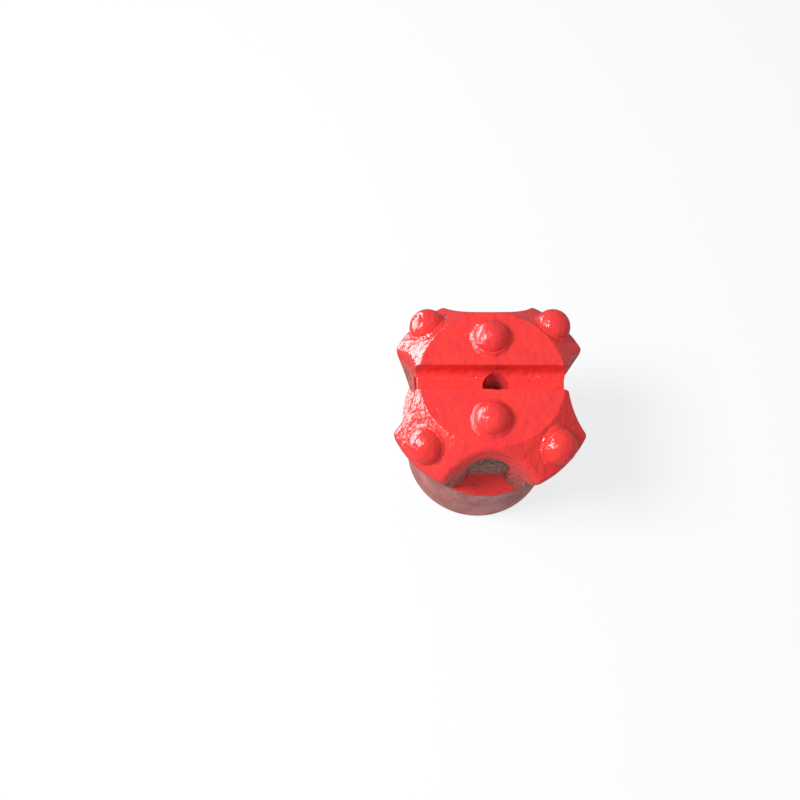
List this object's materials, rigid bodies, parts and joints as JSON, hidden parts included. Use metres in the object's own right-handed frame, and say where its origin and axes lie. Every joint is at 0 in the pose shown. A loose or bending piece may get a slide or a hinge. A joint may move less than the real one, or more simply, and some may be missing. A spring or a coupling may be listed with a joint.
{
  "type": "button drill bit",
  "caption": "Painted steel rock drill bit with domed carbide buttons, scalloped flutes, a flushing slot and a left-hand rope-thread socket.",
  "frame": {"origin": "centre of the skirt's open rim, which the bit stands on", "axes": "+Z from the socket's mouth to the cutting face, +X along the flushing slot"},
  "size_m": [0.0454, 0.0454, 0.0578],
  "materials": {
    "steel_body": "red gloss paint, worn to bare and rusty steel in the flute walls, dusty on the skirt",
    "buttons": "the same red gloss paint over tungsten carbide"
  },
  "bodies": {
    "root": {"bit_body": "steel_body", "front_button_1": "buttons", "front_button_2": "buttons", "gauge_button_1": "buttons", "gauge_button_2": "buttons", "gauge_button_3": "buttons", "gauge_button_4": "buttons"}
  },
  "joints": []
}
